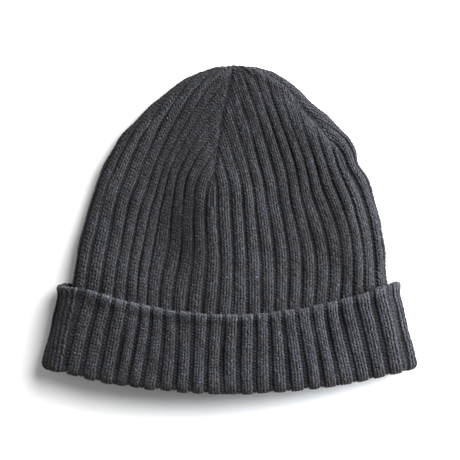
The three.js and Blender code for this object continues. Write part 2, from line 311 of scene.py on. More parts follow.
# %% [markdown]
# ## Ribs and darts
#
# Forty-eight ribs run from the fold to the start of the darts. Above that each rib keeps its width
# while the crown narrows, so the ribs at the edges of each gore end on a dart. A place on the cap
# is therefore given by its gore and by its distance from the gore's middle, counted in ribs.
#
# The real cap's fabric has also slipped round a little, by up to one rib, and the cuff by another
# amount than the body. A short table of slips all the way round, blended between darts, body and
# cuff, puts each rib where it lies and keeps their number.

# %% Places counted in ribs
DART_START = 0.3 * MM
DRIFT_SETTLES = 50 * MM
PRESSED = 0.10
LOOSE = 0.55
rib_at_darts = float(np.interp(dart_length, stations, girths)) / rib_count


def rib_width(fall):
    """A rib's width, which stays as it is at the darts' start while the crown narrows."""
    even = np.interp(fall, stations, girths) / rib_count
    short = rib_at_darts - even
    return even + (short + np.sqrt(short ** 2 + DART_START ** 2)) / 2


def gore_half(fall):
    """Half a gore's width, counted in ribs."""
    return np.interp(fall, stations, girths) / gore_count / 2 / rib_width(fall)


DRIFT = {
    # ribs slipped at the darts, above the cuff and at the fold, for shares of the way round
    "turn": [-0.25, -0.20, -0.165, -0.13, -0.08, 0, 0.08, 0.13, 0.17, 0.20, 0.25, 0.5, 0.75],
    "crown": [0.9, 1.0, 0.9, 0.35, -0.05, 0.15, 0.15, -0.1, -0.3, -0.3, -0.1, 0.4, 0.9],
    "body": [0.9, 1.0, 0.85, 0.42, 0.38, 0.52, 0.55, 0.45, 0.4, 0.1, 0.1, 0.5, 0.9],
    "cuff": [0.25, 0.6, 0.7, 0.42, 0.38, 0.52, 0.58, 0.63, 0.78, 1.0, 1.1, 0.65, 0.25],
}


def turn_of(fall, gore, ribs):
    """The share of the way round, for a place in a gore."""
    fall = np.minimum(fall, crease_fall)
    across = ribs * rib_width(fall) / np.interp(fall, stations, girths)
    return dart_turn + (gore + 0.5) / gore_count + across


def ribs_of(fall, turn):
    """The distance from the middle of its gore, in ribs, for a share of the way round."""
    fall = np.minimum(fall, crease_fall)
    from_dart = np.mod(turn - dart_turn, 1.0) * gore_count
    across = (from_dart - np.floor(from_dart) - 0.5) / gore_count
    return across * np.interp(fall, stations, girths) / rib_width(fall)


def drift_at(fall, turn, slip):
    """How far the ribs have slipped round the cap, as a share of the way. slip is 1 on the cuff."""
    turn = np.mod(turn + 0.25, 1.0) - 0.25
    drift = {name: np.interp(turn, DRIFT["turn"], DRIFT[name]) for name in ("crown", "body", "cuff")}
    down = smooth_step(dart_length, dart_length + DRIFT_SETTLES, fall)
    under = drift["crown"] + (drift["body"] - drift["crown"]) * down
    return (under + (drift["cuff"] - under) * slip) / rib_count


def loose_at(turn):
    """1 on the front and sides, 0 underneath, where the cap's weight presses everything flat."""
    return smooth_step(PRESSED, LOOSE, 0.5 + 0.5 * np.cos(2 * math.pi * turn))


print("rib width at the darts:", round(rib_at_darts, 5))

# %% [markdown]
# ## The wall's path
#
# Cut from the tip to the hem, the fabric is one long strip: down the inside, round the fold, up the
# cuff, over its edge, down its hidden side, round the crease and up the body to the tip again.
# Each row of this table is a place on that strip. It says how far down the place is, how high over
# the body's skin, which way is out of the fabric, how deep the grooves are, how far the cuff
# flares and its edge swells, whether a rib or a groove lies at the gore's middle, how much the
# cuff's own slip counts, and how far on the next row of the mesh is.

# %% Rows along the wall
RIB_DEPTH = 2.0 * MM
INNER_DEPTH = 1.2 * MM
FOLD_SHALLOWER = 0.35
EDGE_GROOVES = 0.25
LOOSE_END_TURN = 0.79
LOOSE_END_WIDTH = 0.06
LOOSE_END_MORE = 1.0
COLUMNS = ("fall", "height", "out_fall", "out_up", "depth",
           "flare", "swell", "phase", "slip", "step")
UPWARDS = (0, 1)
DOWNWARDS = (0, -1)
CUFF_PHASE = 0
BODY_PHASE = 0.5

path_rows = []


def add_stretch(fall, height, out, depth, step, flare=0, swell=0, phase=CUFF_PHASE, slip=0):
    """Adds rows for one stretch of the strip. out is the way out of it, down the cap and up."""
    count = len(np.atleast_1d(fall))
    columns = [fall, height, *out, depth, flare, swell, phase, slip, step]
    path_rows.append(np.stack([np.broadcast_to(column, count) for column in columns], axis=1))


def flare_at(fall):
    return lip_flare * smooth_step(crease_fall, crown_height, fall)


def loose_end(turn):
    """How much further the cuff stands off at its left end, where it isn't held down."""
    away = (np.mod(turn, 1.0) - LOOSE_END_TURN) / LOOSE_END_WIDTH
    return 1 + LOOSE_END_MORE * np.exp(-away ** 2)


inside_fall = np.concatenate([
    np.geomspace(0.15 * MM, 8 * MM, 14),
    np.arange(9, crease_fall / MM, 1) * MM,
])
inside_fade = smooth_step(2 * MM, 20 * MM, inside_fall)
inside_slip = smooth_step(crown_height, crease_fall, inside_fall)
add_stretch(inside_fall, -wall, DOWNWARDS, INNER_DEPTH * inside_fade, step=4.5 * MM,
            slip=inside_slip)

angle = math.pi * np.linspace(0.97, 0.03, 24)
fold_depth = RIB_DEPTH + (INNER_DEPTH - RIB_DEPTH) * angle / math.pi
add_stretch(crease_fall + fold_radius * np.sin(angle), cuff_gap / 2 + fold_radius * np.cos(angle),
            (np.sin(angle), np.cos(angle)), fold_depth * (1 - FOLD_SHALLOWER * np.sin(angle)),
            step=1.0 * MM, slip=1)

outside_fall = np.arange(crease_fall / MM, crown_height / MM + 3.2, -0.5) * MM
ribs_end = crown_height + 1.6 * MM
cuff_fade = smooth_step(ribs_end, ribs_end + 5 * MM, outside_fall)
edge_swell = lip_swell * smooth_step(8 * MM, 2 * MM, outside_fall - crown_height)
add_stretch(outside_fall, cuff_lift, UPWARDS,
            RIB_DEPTH * (EDGE_GROOVES + (1 - EDGE_GROOVES) * cuff_fade), step=1.5 * MM,
            flare=flare_at(outside_fall), swell=edge_swell, slip=1)

angle = math.pi * np.linspace(0, 1, 24)
welt = wall / 2
add_stretch(crown_height + welt * (1 - np.sin(angle)), cuff_gap + welt + welt * np.cos(angle),
            (-np.sin(angle), np.cos(angle)),
            RIB_DEPTH * EDGE_GROOVES * smooth_step(0.6, 0, angle / math.pi), step=0.7 * MM,
            flare=lip_flare, swell=lip_swell * (1 - angle / math.pi), slip=1)

hidden_fall = np.arange(crown_height / MM + 3, crease_fall / MM, 1) * MM
add_stretch(hidden_fall, cuff_gap, DOWNWARDS, 0, step=6 * MM, flare=flare_at(hidden_fall), slip=1)

angle = math.pi * np.linspace(0.9, 0.1, 6)
add_stretch(crease_fall + cuff_gap / 2 * np.sin(angle), cuff_gap / 2 - cuff_gap / 2 * np.cos(angle),
            (-np.sin(angle), np.cos(angle)), 0, step=0.8 * MM, slip=1)

covered_fall = np.arange(crease_fall / MM, crown_height / MM + 9, -1) * MM
covered_fade = smooth_step(crease_fall, crease_fall - 8 * MM, covered_fall)
add_stretch(covered_fall, 0, UPWARDS, RIB_DEPTH * covered_fade, step=6 * MM,
            phase=BODY_PHASE, slip=smooth_step(crown_height, crease_fall, covered_fall))

body_fall = np.concatenate([
    np.arange(crown_height / MM + 8, 8, -0.5) * MM,
    np.geomspace(8 * MM, 0.15 * MM, 28),
])
add_stretch(body_fall, 0, UPWARDS, RIB_DEPTH * smooth_step(1 * MM, 12 * MM, body_fall),
            step=1.9 * MM, phase=BODY_PHASE, slip=smooth_step(crown_height, crease_fall, body_fall))

path = np.concatenate(path_rows)
steps = np.linalg.norm(np.diff(path[:, :2], axis=0), axis=1)
path_length = np.concatenate([[0], np.cumsum(steps)])
print("length of the strip:", round(float(path_length[-1]), 4), "rows:", len(path))


def path_value(name, along):
    """One column of the table, for a distance along the strip."""
    return np.interp(along, path_length, path[:, COLUMNS.index(name)])


def fall_at(along):
    """How far down the cap a place of the strip is, at most down to the crease."""
    return np.minimum(path_value("fall", along), crease_fall)


# %% [markdown]
# ## A little unevenness
#
# Wool that has been worn is never even. Its grooves are deeper in one place than in the next, its
# ribs wander, and its surface has soft lumps. Each is a sum of a few waves, which changes smoothly
# and closes all the way round the cap. Plain random numbers would jump from point to point.

# %% Waves over the fabric
UNEVEN_DEPTH = 0.35
LUMP = 0.22 * MM
WANDER = 0.06
WANDER_FROM = 25 * MM

wave_rng = np.random.default_rng(11)


def make_waves(count, least, most, shortest, longest):
    """Waves that close round the cap: how often round it, their length down it, and their phase."""
    often = np.round(wave_rng.uniform(least, most, count)) * wave_rng.choice([-1, 1], count)
    return list(zip(often, wave_rng.uniform(shortest, longest, count) * MM, wave_rng.random(count)))


def waves_at(waves, fall, turn):
    """Their sum at a place, mostly between -1 and 1."""
    total = sum(np.sin(2 * math.pi * (often * turn + fall / length + start))
                for often, length, start in waves)
    return total / math.sqrt(len(waves))


DEPTH_WAVES = make_waves(6, 5, 22, 30, 90)
LUMP_WAVES = make_waves(10, 4, 26, 14, 45)
WANDER_WAVES = make_waves(6, 3, 14, 60, 140)
print("waves for depth, lumps and wander:",
      len(DEPTH_WAVES), len(LUMP_WAVES), len(WANDER_WAVES))

# %% [markdown]
# ## The ribs, and where they fade
#
# A rib's top is nearly flat and its groove is narrow, like a cord's outline repeated. Beside the
# darts the stitches are knitted together and pulled tight, so the grooves fade out there, and in a
# patch on the crown's left they are pressed flat. The same tight stitches are pulled into an arch
# towards the dart's lower end. At the sides the cuff's edge turns down in a rounded corner.

# %% Grooves, plain places, arches and corners
RIB_SHARPNESS = 2.2
CUFF_RIB = 0.74
BODY_RIB = 0.82
PLAIN_BY_DART = 20 * MM
PLAIN_FROM = 3 * MM
PLAIN_ENDS = 22 * MM
PLAIN_TURN = -0.055
PLAIN_FALL = 42 * MM
PLAIN_WIDTH = 26 * MM
PLAIN_SHALLOWER = 0.85
DART_WIDTH = 1.6 * MM
DART_ENDS = 16 * MM
DART_FROM = 4 * MM
ARCH_DROP = 3 * MM
ARCH_WIDTH = 3.6 * MM
ARCH_FROM = 8 * MM
ARCH_FULL = 30 * MM
CORNER_DROP = 3 * MM
CORNER_WIDTH = 0.016


def groove_at(ribs, phase):
    """0 on a rib's top, 1 at the bottom of a groove."""
    from_top = ribs - (0.5 - phase)
    width = np.where(phase == BODY_PHASE, BODY_RIB, CUFF_RIB)
    from_top = np.minimum(np.abs(from_top - np.round(from_top)) * 2 / width, 1)
    return 1 - np.sqrt(1 - from_top ** RIB_SHARPNESS)


def beside_dart(fall, ribs):
    """How far a place is from the nearer edge of its gore, where the dart runs."""
    return (gore_half(np.minimum(fall, crease_fall)) - np.abs(ribs)) * rib_width(fall)


def plain_at(fall, turn, beside):
    """1 where the grooves are gone: beside the darts and in the crown's pressed patch."""
    by_dart = smooth_step(PLAIN_BY_DART, PLAIN_FROM, beside)
    by_dart = by_dart * smooth_step(dart_length, dart_length - PLAIN_ENDS, fall)
    across = (np.mod(turn - PLAIN_TURN + 0.5, 1.0) - 0.5) * np.interp(fall, stations, girths)
    patch = np.exp(-(across / PLAIN_WIDTH) ** 2 - ((fall - PLAIN_FALL) / PLAIN_WIDTH) ** 2)
    return np.maximum(by_dart, patch)


def valley_at(fall, beside):
    """How deep the valley along a dart is."""
    fade = smooth_step(dart_length, dart_length - DART_ENDS, fall)
    fade = fade * smooth_step(0, DART_FROM, fall)
    return fade * dart_depth * np.exp(-(beside / DART_WIDTH) ** 2)


def arch_at(fall, beside):
    """How far the courses beside a dart are pulled down."""
    fade = smooth_step(dart_length, dart_length - DART_ENDS, fall)
    fade = fade * smooth_step(ARCH_FROM, ARCH_FULL, fall)
    return fade * ARCH_DROP * np.exp(-beside / ARCH_WIDTH)


def corner_at(along, turn):
    """How far the cuff's edge turns down at the sides of the cap."""
    from_side = (np.abs(np.mod(turn, 1.0) - 0.5) - 0.25) / CORNER_WIDTH
    at_edge = (path_value("flare", along) / lip_flare) ** 4
    return CORNER_DROP * np.exp(-from_side ** 2) * at_edge


groove_widths = [1 - BODY_RIB, 1 - CUFF_RIB]
print("flat bottoms of the grooves, in shares of a rib:", np.round(groove_widths, 2))

# %% [markdown]
# ## From a place on the strip to a point
#
# One function makes every point of the fabric and of its stitches, so they always agree. It finds
# how far the place is moved inwards, by its groove, the lumps and the dart's valley. It then moves
# it along the strip's outward direction, lets the ribs wander, and reads the point off the skin.

# %% The ribbed surface
SINK_LESS_IN_GROOVE = 0.8


def fabric_point(along, turn, sink):
    """A point of the ribbed surface, sunk into the fabric by a distance."""
    fall = path_value("fall", along)
    phase = np.round(path_value("phase", along) * 2) / 2
    on_body = phase == BODY_PHASE
    ribs = ribs_of(fall, turn)
    beside = beside_dart(fall, ribs)
    groove = groove_at(ribs, phase)
    plain = plain_at(fall, turn, beside) * on_body
    uneven = 1 + UNEVEN_DEPTH * waves_at(DEPTH_WAVES, fall, turn)
    inward = path_value("depth", along) * uneven * groove * (1 - PLAIN_SHALLOWER * plain)
    inward = inward + sink * (1 - SINK_LESS_IN_GROOVE * groove)
    inward = inward + LUMP * waves_at(LUMP_WAVES, fall, turn) * loose_at(turn)
    inward = inward + on_body * valley_at(fall, beside)
    lifted = path_value("flare", along) * loose_end(turn) + path_value("swell", along)
    lifted = lifted * loose_at(turn)
    height = path_value("height", along) + lifted - inward * path_value("out_up", along)
    place = fall - inward * path_value("out_fall", along)
    place = place + arch_at(fall, beside) * on_body + corner_at(along, turn)
    place = np.maximum(place, TIP_FALL)
    turn = turn + drift_at(place, turn, path_value("slip", along))
    wander = waves_at(WANDER_WAVES, place, turn) * smooth_step(0, WANDER_FROM, place)
    turn = turn + WANDER / rib_count * wander
    point = on_grid(skin_grid, place, turn) + on_grid(normal_grid, place, turn) * height[..., None]
    point[..., 2] = np.maximum(point[..., 2], 0)
    return point


# %% [markdown]
# ## The fabric as one closed surface
#
# A grid from bmesh is wrapped along the strip and round the cap: its columns become ribs and its
# rows courses. It is sunk a little, so that the stitches stand out of it. Its two long edges meet
# and are welded, and its two short edges close at the tips of the crown, inside and outside. That
# gives one closed wall with a real thickness, which a Solidify modifier would not, because the
# turned-up cuff lies on the body.

# %% Wrap a grid into the fabric
COLUMNS_PER_RIB = 8
UNDER_STITCHES = 0.55 * MM

row_places = [0.0]
while row_places[-1] < path_length[-1]:
    row_places.append(row_places[-1] + float(path_value("step", row_places[-1])))
row_places = np.array(row_places) * path_length[-1] / row_places[-1]


def mesh_points(mesh):
    values = np.empty(len(mesh.vertices) * 3)
    mesh.vertices.foreach_get("co", values)
    return values.reshape(-1, 3)


def set_mesh_points(mesh, points):
    mesh.vertices.foreach_set("co", points.astype(np.float32).ravel())
    mesh.update()


def new_object(name, data):
    made = bpy.data.objects.new(name, data)
    bpy.context.scene.collection.objects.link(made)
    return made


def count_triangles(mesh):
    return sum(len(face.vertices) - 2 for face in mesh.polygons)


fabric_mesh = bpy.data.meshes.new("fabric")
bm = bmesh.new()
columns = rib_count * COLUMNS_PER_RIB
bmesh.ops.create_grid(bm, x_segments=columns, y_segments=len(row_places) - 1, size=1)
bm.to_mesh(fabric_mesh)
bm.free()

flat_points = mesh_points(fabric_mesh)
turn = dart_turn + (flat_points[:, 0] + 1) / 2
row = (flat_points[:, 1] + 1) / 2 * (len(row_places) - 1)
along = np.interp(row, np.arange(len(row_places)), row_places)
wrapped = fabric_point(along, turn, UNDER_STITCHES)
first = row < 0.5
last = row > len(row_places) - 1.5
wrapped[first] = wrapped[first].mean(axis=0)
wrapped[last] = wrapped[last].mean(axis=0)
set_mesh_points(fabric_mesh, wrapped)

bm = bmesh.new()
bm.from_mesh(fabric_mesh)
bmesh.ops.remove_doubles(bm, verts=bm.verts, dist=0.005 * MM)
bmesh.ops.recalc_face_normals(bm, faces=bm.faces)
if bm.calc_volume(signed=True) < 0:
    bmesh.ops.reverse_faces(bm, faces=bm.faces)
open_edges = sum(not edge.is_manifold for edge in bm.edges)
print("fabric:", len(bm.faces), "faces, open edges:", open_edges,
      "wall in cubic cm:", round(bm.calc_volume() * 1e6))
bm.to_mesh(fabric_mesh)
bm.free()
fabric_mesh.shade_smooth()
fabric = new_object("fabric_shell", fabric_mesh)

# %% [markdown]
# ## One stitch leg
#
# Each knit stitch shows as a V, and each side of the V is a short, fat loop of yarn. From a few
# steps away a leg looks like a grain of rice, so one small sphere is stretched into a grain. It is
# repeated thousands of times, so it has only twenty faces.

# %% The template grain
GRAIN_SEGMENTS = 5
GRAIN_RINGS = 4

grain_mesh = bpy.data.meshes.new("stitch_grain")
bm = bmesh.new()
bmesh.ops.create_uvsphere(bm, u_segments=GRAIN_SEGMENTS, v_segments=GRAIN_RINGS, radius=0.5)
bmesh.ops.rotate(bm, verts=bm.verts, cent=(0, 0, 0),
                 matrix=Matrix.Rotation(math.pi / 2, 3, "X"))
bm.to_mesh(grain_mesh)
bm.free()
grain_mesh.shade_smooth()
grain = new_object("stitch_grain", grain_mesh)
print("one grain:", count_triangles(grain_mesh), "triangles")

# %% [markdown]
# ## Laying the grains
#
# A point with a facing, a direction to lie in and a size stands for each leg. A small Geometry
# Nodes group puts the grain on every point, turns it to face outwards, and makes real mesh of it.
# Copying the grain in a Python loop gives the same mesh, but takes far longer.

# %% A node group that puts grains on points
lay_grains = bpy.data.node_groups.new("lay_grains", "GeometryNodeTree")
lay_grains.interface.new_socket("Geometry", in_out="INPUT", socket_type="NodeSocketGeometry")
lay_grains.interface.new_socket("Geometry", in_out="OUTPUT", socket_type="NodeSocketGeometry")


def point_value(name):
    """The node that reads a vector of the points by its name."""
    node = lay_grains.nodes.new("GeometryNodeInputNamedAttribute")
    node.data_type = "FLOAT_VECTOR"
    node.inputs["Name"].default_value = name
    return node.outputs["Attribute"]


group_in = lay_grains.nodes.new("NodeGroupInput")
group_out = lay_grains.nodes.new("NodeGroupOutput")
grain_info = lay_grains.nodes.new("GeometryNodeObjectInfo")
grain_info.inputs["Object"].default_value = grain
face_out = lay_grains.nodes.new("FunctionNodeAlignRotationToVector")
face_out.axis = "Z"
turn_along = lay_grains.nodes.new("FunctionNodeAlignRotationToVector")
turn_along.axis = "Y"
turn_along.pivot_axis = "Z"
instances = lay_grains.nodes.new("GeometryNodeInstanceOnPoints")
realize = lay_grains.nodes.new("GeometryNodeRealizeInstances")

links = lay_grains.links
links.new(point_value("facing"), face_out.inputs["Vector"])
links.new(face_out.outputs["Rotation"], turn_along.inputs["Rotation"])
links.new(point_value("lay"), turn_along.inputs["Vector"])
links.new(group_in.outputs["Geometry"], instances.inputs["Points"])
links.new(grain_info.outputs["Geometry"], instances.inputs["Instance"])
links.new(turn_along.outputs["Rotation"], instances.inputs["Rotation"])
links.new(point_value("size"), instances.inputs["Scale"])
links.new(instances.outputs["Instances"], realize.inputs["Geometry"])
links.new(realize.outputs["Geometry"], group_out.inputs["Geometry"])


def grains_object(name, places, facing, lay, size, shade):
    """One mesh of grains, one on each place."""
    points = bpy.data.meshes.new(name + "_points")
    points.vertices.add(len(places))
    set_mesh_points(points, places)
    for label, value in {"facing": facing, "lay": lay, "size": size}.items():
        layer = points.attributes.new(label, "FLOAT_VECTOR", "POINT")
        layer.data.foreach_set("vector", value.astype(np.float32).ravel())
    layer = points.attributes.new("shade", "FLOAT", "POINT")
    layer.data.foreach_set("value", shade.astype(np.float32))
    cloud = new_object(name + "_points", points)
    cloud.modifiers.new("lay_grains", "NODES").node_group = lay_grains
    evaluated = cloud.evaluated_get(bpy.context.evaluated_depsgraph_get())
    mesh = bpy.data.meshes.new_from_object(evaluated)
    mesh.name = name
    bpy.data.objects.remove(cloud)
    bpy.data.meshes.remove(points)
    for label in ("facing", "lay", "size"):
        mesh.attributes.remove(mesh.attributes[label])
    shape = mesh_points(mesh)
    shape[:, 2] = np.maximum(shape[:, 2], 0)
    set_mesh_points(mesh, shape)
    mesh.shade_smooth()
    print(name + ":", len(places), "grains,", count_triangles(mesh), "triangles")
    return new_object(name, mesh)


# %% [markdown]
# ## Where the legs lie
#
# Each rib has two columns of stitches, and each column a left and a right leg in every course. On
# the body the V points down to the hem. The cuff is the same strip turned over, so there it points
# up. Knitted wool is never even, so every leg is moved, turned, sized and shaded a little by a
# seeded random number. Beside a dart the stitches are crowded and lie more loosely still.

# %% Rows of legs along the ribs
COURSE = 1.96 * MM
WALE_OFFSET = 0.200
LEG_OFFSET = 0.098
LEG_LEAN = math.radians(20)
# a leg's width as a share of a rib's, its length and its thickness
LEG_SIZE = (0.215, 3.0 * MM, 1.2 * MM)
CUFF_SPREAD = 0.84
BODY_SPREAD = 0.94
LEG_SINK = 0.40 * MM
SMALL = 0.15 * MM
GORE_MARGIN = 0.06
DART_LOOSE = 4.0
MOVED_ALONG = 0.14 * MM
MOVED_ACROSS = 0.012
TURNED = math.radians(7)
SIZED = 0.08

rng = np.random.default_rng(7)


def unit(vector):
    """The same directions with a length of 1."""
    return vector / np.maximum(np.linalg.norm(vector, axis=-1, keepdims=True), 1e-12)


def frame_at(along, gore, ribs, sink):
    """The point, and the directions along the rib, across it and out of it."""
    def point(more_along, more_ribs):
        near = along + more_along
        turn = turn_of(path_value("fall", near), gore, ribs + more_ribs)
        return fabric_point(near, turn, sink)

    up_rib = unit(point(4 * SMALL, 0) - point(-4 * SMALL, 0))
    step = SMALL / rib_width(fall_at(along))
    over_rib = point(0, 2 * step) - point(0, -2 * step)
    over_rib = unit(over_rib - up_rib * np.sum(over_rib * up_rib, axis=-1, keepdims=True))
    return point(0, 0), up_rib, over_rib, np.cross(over_rib, up_rib)


def leg_cloud(alongs, gores, ribs, sides, pointing):
    """Points for legs, one for each given place. pointing is 1 where the V points down the strip."""
    count = len(alongs)
    fall = fall_at(alongs)
    near_dart = np.exp(-beside_dart(fall, ribs) / DART_WIDTH) * (fall < dart_length)
    loose = 1 + DART_LOOSE * near_dart * (pointing > 0)
    alongs = alongs + rng.normal(0, MOVED_ALONG, count) * loose
    ribs = ribs + rng.normal(0, MOVED_ACROSS, count)
    places, up_rib, over_rib, facing = frame_at(alongs, gores, ribs, LEG_SINK)
    lean = (LEG_LEAN + rng.normal(0, TURNED, count) * loose) * sides * pointing
    lay = up_rib * np.cos(lean)[:, None] + over_rib * np.sin(lean)[:, None]
    width = LEG_SIZE[0] * rib_width(fall_at(alongs))
    size = np.stack([width, np.full(count, LEG_SIZE[1]), np.full(count, LEG_SIZE[2])], axis=1)
    size *= rng.normal(1, SIZED, count)[:, None]
    return places, facing, lay, size, rng.random(count)


def rib_places(alongs, gore, centres, spread):
    """Every pairing of a course with a leg of the given ribs, kept where the gore is wide enough."""
    offsets = []
    for wale in (-1, 1):
        for side in (-1, 1):
            offsets.append((wale * WALE_OFFSET + side * LEG_OFFSET, side))
    found = []
    for centre in centres:
        for offset, side in offsets:
            ribs = centre + offset * spread
            kept = alongs[np.abs(ribs) + GORE_MARGIN < gore_half(fall_at(alongs))]
            found.append(np.stack([kept, np.full(len(kept), gore), np.full(len(kept), ribs),
                                   np.full(len(kept), side)], axis=1))
    return np.concatenate(found)


def stretch_at(number):
    """Where a stretch of the strip starts and ends."""
    counts = np.cumsum([0] + [len(rows) for rows in path_rows])
    return path_length[counts[number]], path_length[counts[number + 1] - 1]


INSIDE, FOLD, CUFF, WELT, HIDDEN, CREASE, COVERED, BODY = range(8)
INTO_MOUTH = 24 * MM
SHORT_OF_WELT = 1.2 * MM
body_start = stretch_at(BODY)[0] + 1 * MM
body_end = stretch_at(BODY)[1] - 0.2 * MM
body_courses = np.arange(body_start, body_end, COURSE)
cuff_start = stretch_at(FOLD)[0] - INTO_MOUTH
cuff_end = stretch_at(WELT)[1] - SHORT_OF_WELT
cuff_courses = np.arange(cuff_start, cuff_end, COURSE)
print("courses on the body:", len(body_courses), "and on the cuff:", len(cuff_courses))

# %% [markdown]
# ## The body's stitches
#
# One mesh for each gore keeps every piece under two hundred thousand triangles, and follows the
# way that the real crown is divided.

# %% Body stitches, gore by gore
GORE_NAMES = ("front_right", "back_right", "back_left", "front_left")
stitches = []
for gore, side_name in enumerate(GORE_NAMES):
    found = rib_places(body_courses, gore, np.arange(-6, 7), BODY_SPREAD)
    found = found[np.abs(found[:, 2]) < ribs_per_gore / 2]
    cloud = leg_cloud(*found.T, 1)
    stitches.append(grains_object("stitches_" + side_name, *cloud))

# %% [markdown]
# ## The cuff's stitches
#
# They start a little way inside the mouth, turn round the fold, run up the cuff and end over its
# top edge. The front and the back are two meshes. The last courses at the edge are cast off, so
# they are a little larger, and their shade is raised as a painted highlight where the edge catches
# the light. The stitches round the fold turn away from it, so their shade is lowered as painted
# shade. The whole cuff's shade is raised too, as painted light for the way it faces the lamps.

# %% Cuff stitches, front and back
# painted light: a lighter cuff, a painted highlight at its edge and painted shade round its fold
CUFF_PAINTED_LIGHT = 0.35
EDGE_PAINTED_HIGHLIGHT = 1.1
EDGE_LARGER = 0.25
FOLD_PAINTED_SHADE = 1.0
edge_range = (cuff_end - 8 * MM, cuff_end - 5 * MM)
fold_shade_range = (stretch_at(CUFF)[0] + 5 * MM, stretch_at(CUFF)[0] - 4 * MM)
found = np.concatenate([rib_places(cuff_courses, gore, np.arange(-5.5, 6), CUFF_SPREAD)
                        for gore in range(gore_count)])
turns = turn_of(path_value("fall", found[:, 0]), found[:, 1], found[:, 2])
at_front = np.cos(2 * math.pi * turns) > 0
for side_name, kept in {"front": at_front, "back": ~at_front}.items():
    places, facing, lay, size, shade = leg_cloud(*found[kept].T, -1)
    alongs = found[kept][:, 0]
    at_edge = smooth_step(*edge_range, alongs)
    fold_painted_shade_mask = smooth_step(*fold_shade_range, alongs)
    size = size * (1 + EDGE_LARGER * at_edge)[:, None]
    # painted light, painted highlight and painted shade are added to each stitch's random shade
    shade = shade + CUFF_PAINTED_LIGHT + EDGE_PAINTED_HIGHLIGHT * at_edge - FOLD_PAINTED_SHADE * fold_painted_shade_mask
    stitches.append(grains_object("cuff_stitches_" + side_name, places, facing, lay, size, shade))

# %% [markdown]
# ## The loops in the grooves
#
# Between two ribs the fabric is purled, and its loops lie across the groove like the rungs of a
# ladder. They are seen only as a slight unevenness in the dark, so one grain for each is enough.
# On the body no loop comes too near a gore's edge, because the dart takes its room. The cuff has no
# darts, so the groove between two of its gores has its loops too.

# %% Purl loops
# a loop's length as a share of a rib's width, its width and its thickness
LOOP_SIZE = (0.21, 1.25 * MM, 1.0 * MM)
LOOP_SINK = 0.25 * MM
INSIDE_GORE = 0.25
UP_TO_BOUNDARY = -0.25


def groove_places(alongs, gore, centres, margin):
    """Every pairing of a course with a groove, kept where the gore is wide enough."""
    found = []
    for centre in centres:
        kept = alongs[np.abs(centre) + margin < gore_half(fall_at(alongs))]
        found.append(np.stack([kept, np.full(len(kept), gore), np.full(len(kept), centre)], axis=1))
    return np.concatenate(found)


found = []
for gore in range(gore_count):
    found.append(groove_places(body_courses + COURSE / 2, gore, np.arange(-5.5, 6), INSIDE_GORE))
    found.append(groove_places(cuff_courses + COURSE / 2, gore, np.arange(-6, 6), UP_TO_BOUNDARY))
alongs, gores, ribs = np.concatenate(found).T
places, up_rib, over_rib, facing = frame_at(alongs, gores, ribs, LOOP_SINK)
count = len(alongs)
width = LOOP_SIZE[0] * rib_width(fall_at(alongs))
size = np.stack([np.full(count, LOOP_SIZE[1]), width, np.full(count, LOOP_SIZE[2])], axis=1)
stitches.append(grains_object("groove_loops", places, facing, over_rib, size, rng.random(count)))
bpy.data.objects.remove(grain)

# %% [markdown]
# ## Writing shader maths
#
# A material is a network of small nodes. This class wraps a socket, so that plain sums on it add
# the Math nodes. One method makes every other node from its type, its settings and its inputs.

# %% A socket that can be calculated with
class Field:
    """A number that varies over a surface."""

    def __init__(self, shader, socket):
        self.shader = shader
        self.socket = socket

    def math(self, operation, first, second):
        return self.shader.node("ShaderNodeMath", {"operation": operation}, {0: first, 1: second})

    def __add__(self, other):
        return self.math("ADD", self, other)

    __radd__ = __add__

    def __mul__(self, other):
        return self.math("MULTIPLY", self, other)

    __rmul__ = __mul__

    def __sub__(self, other):
        return self.math("SUBTRACT", self, other)

    def __rsub__(self, other):
        return self.math("SUBTRACT", other, self)


class Shader:
    """A material and the nodes that are added to it."""

    def __init__(self, name):
        self.material = bpy.data.materials.new(name)
        self.material.use_nodes = True
        self.tree = self.material.node_tree
        self.tree.nodes.clear()

    def node(self, kind, settings, inputs, output=0):
        made = self.tree.nodes.new(kind)
        for name, value in settings.items():
            if name == "stops":
                for place, stop in enumerate(value):
                    if place >= len(made.color_ramp.elements):
                        made.color_ramp.elements.new(stop[0])
                    made.color_ramp.elements[place].position = stop[0]
                    made.color_ramp.elements[place].color = stop[1]
            else:
                setattr(made, name, value)
        for name, value in inputs.items():
            if isinstance(value, Field):
                self.tree.links.new(value.socket, made.inputs[name])
            else:
                made.inputs[name].default_value = value
        return Field(self, made.outputs[output]) if len(made.outputs) else made

    def mix(self, factor, first, second, blend="MIX"):
        settings = {"data_type": "RGBA", "blend_type": blend}
        return self.node("ShaderNodeMix", settings, {0: factor, 6: first, 7: second}, 2)

    def noise(self, place, scale, detail=2.0, roughness=0.5):
        inputs = {"Vector": place, "Scale": scale, "Detail": detail, "Roughness": roughness}
        return self.node("ShaderNodeTexNoise", {}, inputs)

    def ramp(self, value, stops):
        grey = [(place, (level, level, level, 1)) for place, level in stops]
        return self.node("ShaderNodeValToRGB", {"stops": grey}, {"Fac": value})
